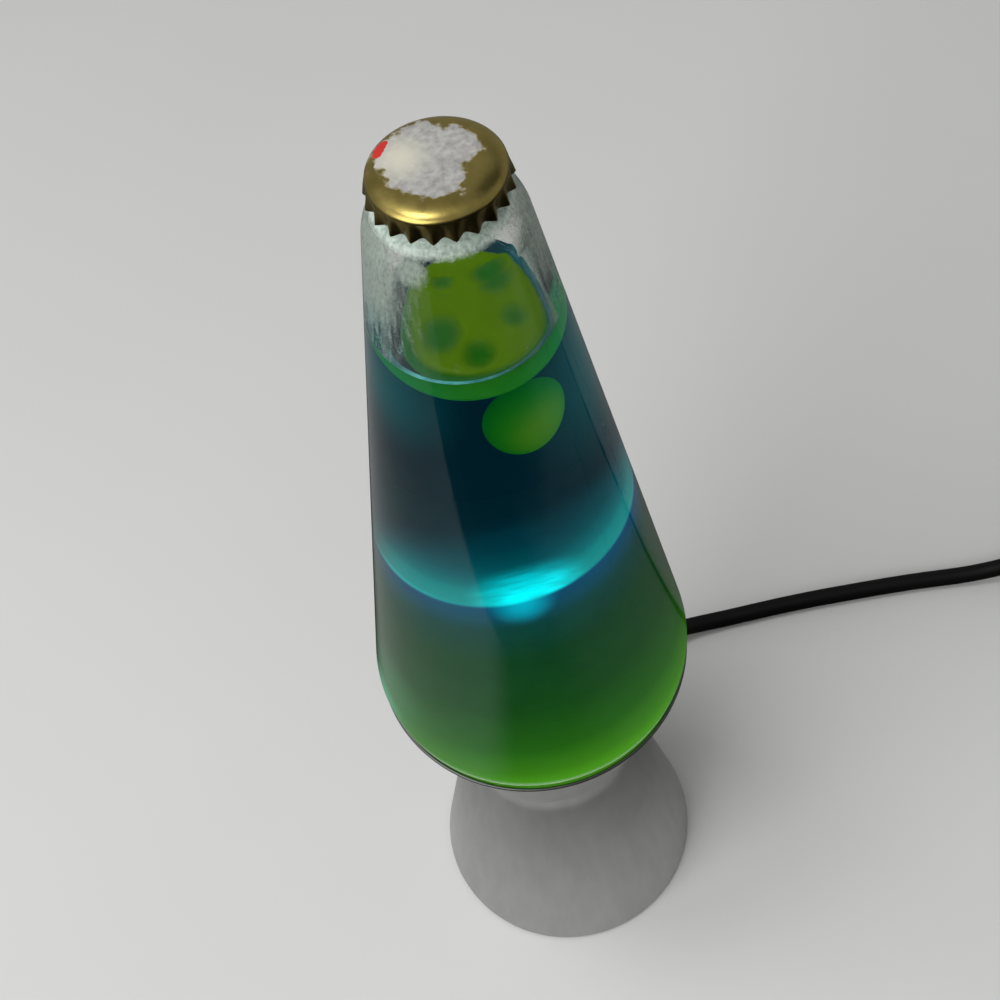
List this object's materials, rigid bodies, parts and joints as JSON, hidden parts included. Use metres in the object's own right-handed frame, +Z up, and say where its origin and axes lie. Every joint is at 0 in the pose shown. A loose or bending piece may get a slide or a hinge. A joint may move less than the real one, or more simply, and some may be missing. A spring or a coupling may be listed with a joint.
{
  "type": "liquid motion lamp",
  "caption": "Table lamp whose tapered glass globe of dyed liquid and wax lifts out of a spun metal hourglass base that holds the bulb, with a lead, inline switch and plug.",
  "frame": {"origin": "on the supporting surface, under the centre of the base", "axes": "+Z up along the lamp's axis, +X to the side on which the lead lies, the lead leaving behind towards +X +Y"},
  "size_m": [0.4375, 0.1125, 0.3489],
  "materials": {
    "globe_glass": "clear",
    "crown_gold": "satin lacquer, worn",
    "liner": "matt",
    "liquid": "clear dyed",
    "wax": "waxy",
    "element_wire": "drawn",
    "base_metal": "satin, spun",
    "plate": "matt",
    "foot_rubber": "matt",
    "zinc_steel": "zinc plated",
    "brass": "plain",
    "holder_plastic": "moulded",
    "bulb_glass": "frosted",
    "filament": "drawn",
    "bulb_metal": "plain",
    "wire_brown": "plain",
    "wire_blue": "plain",
    "cord_sheath": "satin",
    "bush_rubber": "satin",
    "switch_plastic": "satin",
    "rocker_plastic": "gloss",
    "tie_plastic": "satin",
    "plug_plastic": "satin",
    "pin_metal": "plated"
  },
  "bodies": {
    "base": {"base_shell": "base_metal", "base_plate": "plate", "feet": "foot_rubber", "holder_bracket": "zinc_steel", "bracket_screws": "zinc_steel", "bracket_nuts": "zinc_steel", "nipple": "brass", "nipple_nut": "brass", "lampholder": "holder_plastic", "holder_sleeve": "brass", "holder_contact": "brass", "terminal_screws": "brass", "bulb_glass": "bulb_glass", "bulb_mount": "filament", "bulb_cap": "bulb_metal", "bulb_insulator": "holder_plastic", "bulb_contact": "bulb_metal", "lead_live": "wire_brown", "lead_neutral": "wire_blue", "cord_inner": "cord_sheath", "cord_clamp": "plate", "clamp_screws": "zinc_steel", "strain_relief": "bush_rubber", "cord_lead": "cord_sheath", "switch_lower": "switch_plastic", "switch_upper": "switch_plastic", "switch_contacts": "brass", "switch_screws": "zinc_steel", "cord_tail": "cord_sheath", "cord_coil": "cord_sheath", "coil_tie": "tie_plastic", "cord_end": "cord_sheath", "plug_body": "plug_plastic", "plug_pins": "pin_metal"},
    "globe": {"globe_glass": "globe_glass", "crown_cap": "crown_gold", "cap_liner": "liner", "liquid": "liquid", "wax_pool": "wax", "wax_raft": "wax", "element_coil": "element_wire"},
    "blob": {"wax_blob": "wax"},
    "rocker": {"switch_rocker": "rocker_plastic"}
  },
  "joints": [
    {"name": "globe_lift", "type": "slide", "parent": "base", "child": "globe", "axis": [0, 0, 1], "range_m": [0, 0.06]},
    {"name": "blob_drift", "type": "slide", "parent": "globe", "child": "blob", "axis": [0, 0, 1], "range_m": [-0.03, 0.002], "deforming": ["liquid"]},
    {"name": "switch_rock", "type": "hinge", "parent": "base", "child": "rocker", "pos_m": [0.221, 0.058, 0.0124], "axis": [0, 1, 0], "range_deg": [-18, 0]}
  ]
}
